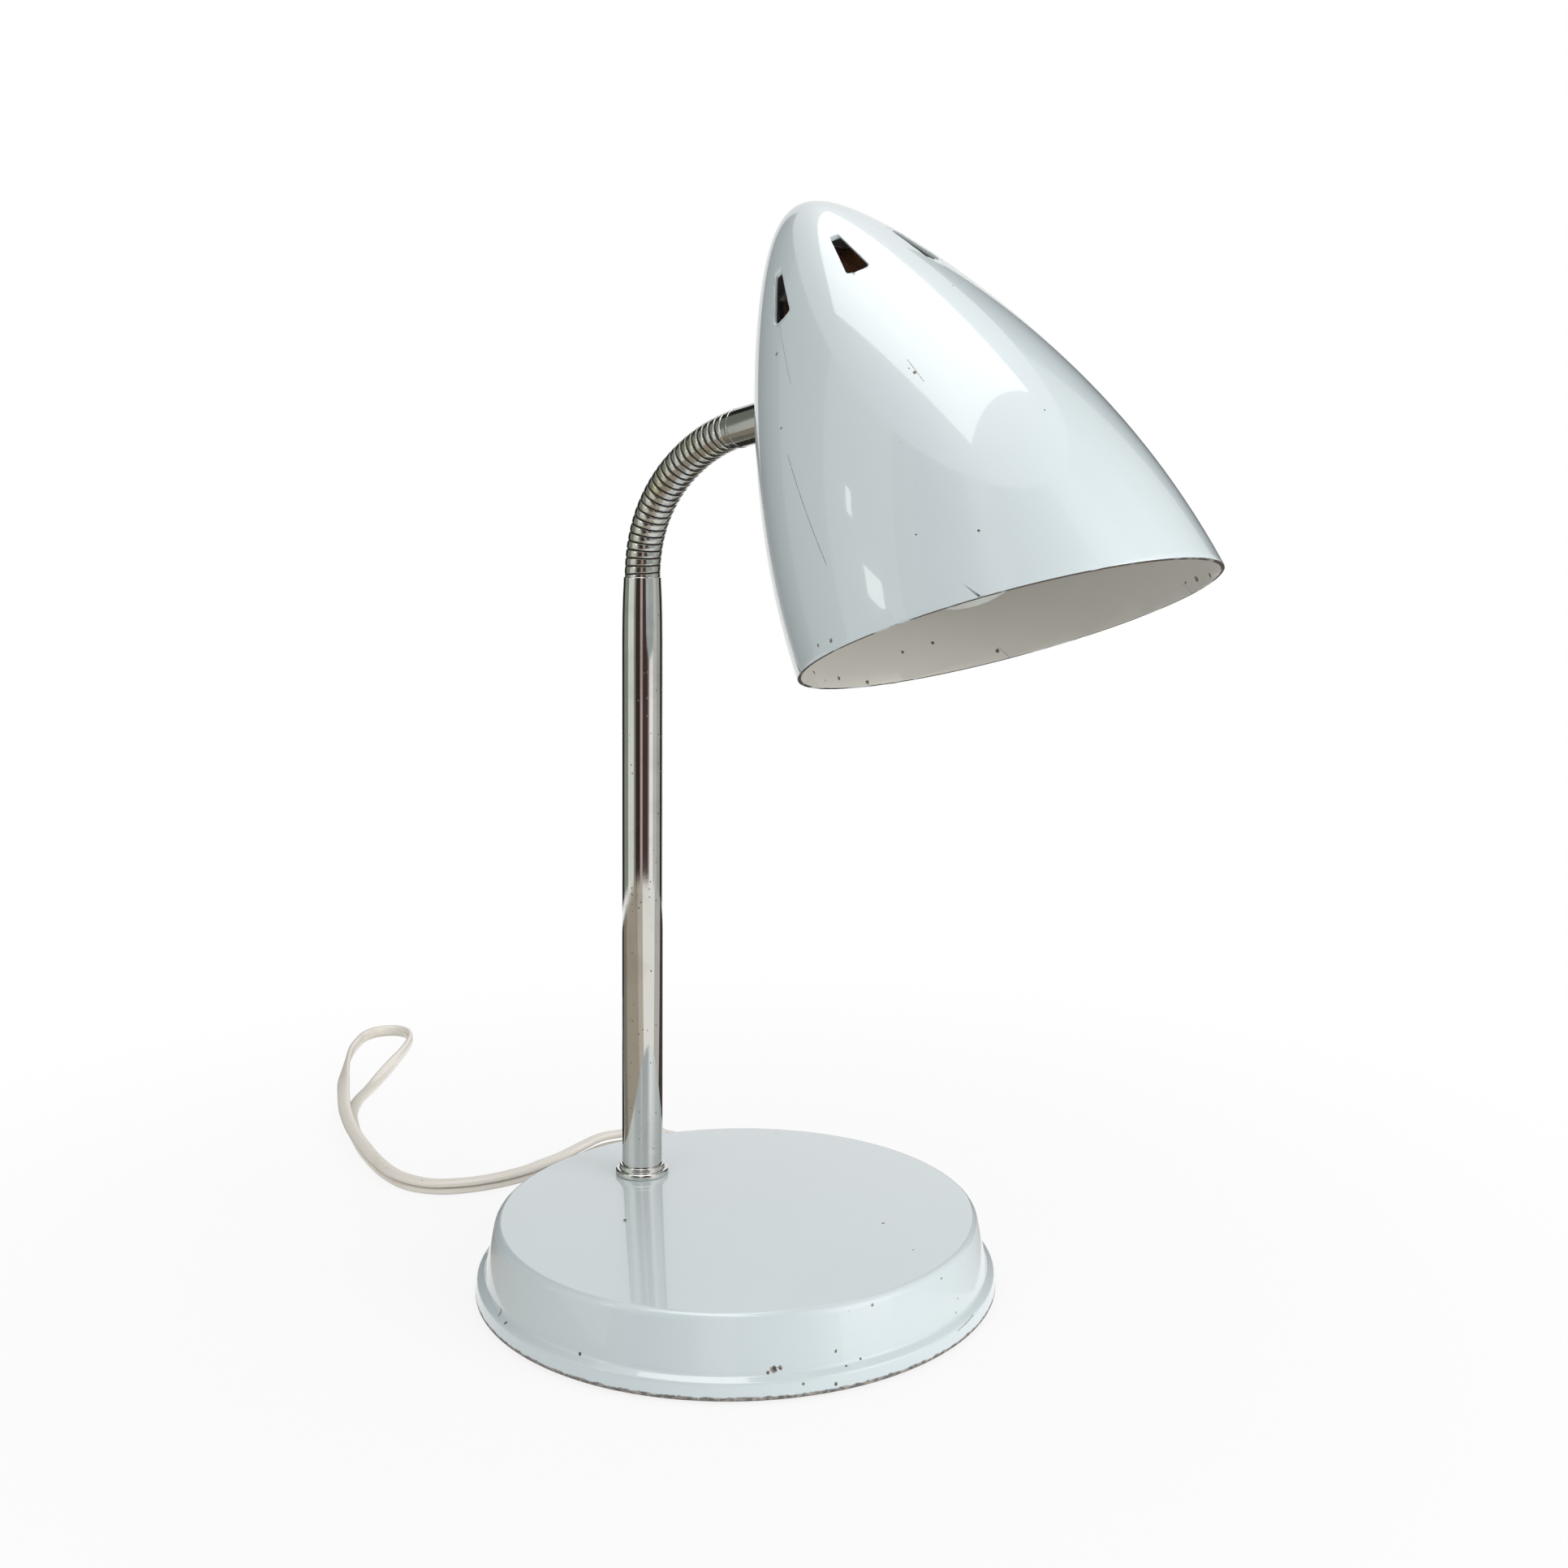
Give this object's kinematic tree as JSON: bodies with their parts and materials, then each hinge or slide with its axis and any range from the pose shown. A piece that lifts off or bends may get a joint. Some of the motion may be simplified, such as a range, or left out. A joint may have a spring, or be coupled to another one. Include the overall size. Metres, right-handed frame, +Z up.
{
  "type": "gooseneck desk lamp",
  "caption": "Small desk lamp with a round pressed-steel base, straight chrome stem, flexible gooseneck and a pointed bullet-shaped shade with vents.",
  "frame": {"origin": "middle of the round base, on the surface that the lamp stands on", "axes": "+Z up, -Y the side that the shade faces, +Y the side of the base that carries the stem, +X to the right seen from the front"},
  "size_m": [0.194, 0.4869, 0.3451],
  "materials": {
    "painted_steel": "glossy",
    "cast_iron": "matte",
    "zinc_steel": "satin",
    "felt": "matte",
    "cord_pvc": "satin",
    "tie_plastic": "matte",
    "brass": "satin",
    "chrome": "polished",
    "bakelite": "glossy",
    "ceramic": "satin",
    "bulb_glass": "satin"
  },
  "bodies": {
    "stand": {"base_cover": "painted_steel", "base_weight": "cast_iron", "bottom_plate": "zinc_steel", "felt_pad": "felt", "bottom_screw": "zinc_steel", "cord_bushing": "cord_pvc", "cord_clamp": "zinc_steel", "clamp_screws": "zinc_steel", "base_nipple": "brass", "base_washer": "zinc_steel", "base_nut": "zinc_steel", "stem": "chrome", "stem_bush": "brass", "stem_collar": "chrome", "cord_inner": "cord_pvc", "neck_socket": "chrome", "cord_run": "cord_pvc", "cord_coil": "cord_pvc", "cord_tail": "cord_pvc", "cord_tie": "tie_plastic", "plug_body": "cord_pvc", "plug_pins": "chrome"},
    "link_1": {"neck_link_1": "chrome"},
    "link_2": {"neck_link_2": "chrome"},
    "link_3": {"neck_link_3": "chrome"},
    "link_4": {"neck_link_4": "chrome"},
    "link_5": {"neck_link_5": "chrome"},
    "link_6": {"neck_link_6": "chrome"},
    "link_7": {"neck_link_7": "chrome"},
    "link_8": {"neck_link_8": "chrome"},
    "link_9": {"neck_link_9": "chrome"},
    "link_10": {"neck_link_10": "chrome"},
    "link_11": {"neck_link_11": "chrome"},
    "head": {"neck_ferrule": "chrome", "shade": "painted_steel", "arm_nipple": "brass", "arm_washer": "zinc_steel", "arm_nut": "zinc_steel", "holder_bracket": "zinc_steel", "holder_nipple": "brass", "holder_nut": "zinc_steel", "holder_cap": "bakelite", "holder_skirt": "bakelite", "holder_core": "ceramic", "holder_shell": "brass", "centre_contact": "brass", "bulb_cap": "brass", "bulb_glass": "bulb_glass"},
    "switch": {"switch_bar": "bakelite"}
  },
  "joints": [
    {"name": "neck_bend", "type": "hinge", "parent": "stand", "child": "link_1", "pos_m": [0, 0.047, 0.2333], "axis": [1, 0, 0], "range_deg": [-13.3, 5]},
    {"name": "neck_side", "type": "hinge", "parent": "link_1", "child": "link_2", "pos_m": [0, 0.04626, 0.23925], "axis": [0, 0.9816, 0.191], "range_deg": [-10, 10]},
    {"name": "neck_bend_2", "type": "hinge", "parent": "link_2", "child": "link_3", "pos_m": [0, 0.04471, 0.24505], "axis": [1, 0, 0], "range_deg": [-13.3, 5]},
    {"name": "neck_side_2", "type": "hinge", "parent": "link_3", "child": "link_4", "pos_m": [0, 0.04236, 0.25057], "axis": [0, 0.8892, 0.4576], "range_deg": [-10, 10]},
    {"name": "neck_bend_3", "type": "hinge", "parent": "link_4", "child": "link_5", "pos_m": [0, 0.03924, 0.2557], "axis": [1, 0, 0], "range_deg": [-13.3, 5]},
    {"name": "neck_side_3", "type": "hinge", "parent": "link_5", "child": "link_6", "pos_m": [0, 0.03545, 0.26035], "axis": [0, 0.735, 0.6781], "range_deg": [-10, 10]},
    {"name": "neck_bend_4", "type": "hinge", "parent": "link_6", "child": "link_7", "pos_m": [0, 0.03112, 0.2645], "axis": [1, 0, 0], "range_deg": [-13.3, 5]},
    {"name": "neck_side_4", "type": "hinge", "parent": "link_7", "child": "link_8", "pos_m": [0, 0.02635, 0.26815], "axis": [0, 0.5684, 0.8228], "range_deg": [-10, 10]},
    {"name": "neck_bend_5", "type": "hinge", "parent": "link_8", "child": "link_9", "pos_m": [0, 0.02125, 0.27131], "axis": [1, 0, 0], "range_deg": [-13.3, 5]},
    {"name": "neck_side_5", "type": "hinge", "parent": "link_9", "child": "link_10", "pos_m": [0, 0.01589, 0.274], "axis": [0, 0.4071, 0.9134], "range_deg": [-10, 10]},
    {"name": "neck_bend_6", "type": "hinge", "parent": "link_10", "child": "link_11", "pos_m": [0, 0.0103, 0.27619], "axis": [1, 0, 0], "range_deg": [-13.3, 5]},
    {"name": "neck_side_6", "type": "hinge", "parent": "link_11", "child": "head", "pos_m": [0, 0.00453, 0.27782], "axis": [0, 0.219, 0.9757], "range_deg": [-10, 10]},
    {"name": "switch_slide", "type": "slide", "parent": "head", "child": "switch", "axis": [1, 0, 0], "range_m": [-0.003, 0.003]}
  ],
  "couplings": [
    {"joint": "neck_bend_2", "follows": "neck_bend", "ratio": 1},
    {"joint": "neck_side_2", "follows": "neck_side", "ratio": 1},
    {"joint": "neck_bend_3", "follows": "neck_bend", "ratio": 1},
    {"joint": "neck_side_3", "follows": "neck_side", "ratio": 1},
    {"joint": "neck_bend_4", "follows": "neck_bend", "ratio": 1},
    {"joint": "neck_side_4", "follows": "neck_side", "ratio": 1},
    {"joint": "neck_bend_5", "follows": "neck_bend", "ratio": 1},
    {"joint": "neck_side_5", "follows": "neck_side", "ratio": 1},
    {"joint": "neck_bend_6", "follows": "neck_bend", "ratio": 1},
    {"joint": "neck_side_6", "follows": "neck_side", "ratio": 1}
  ]
}
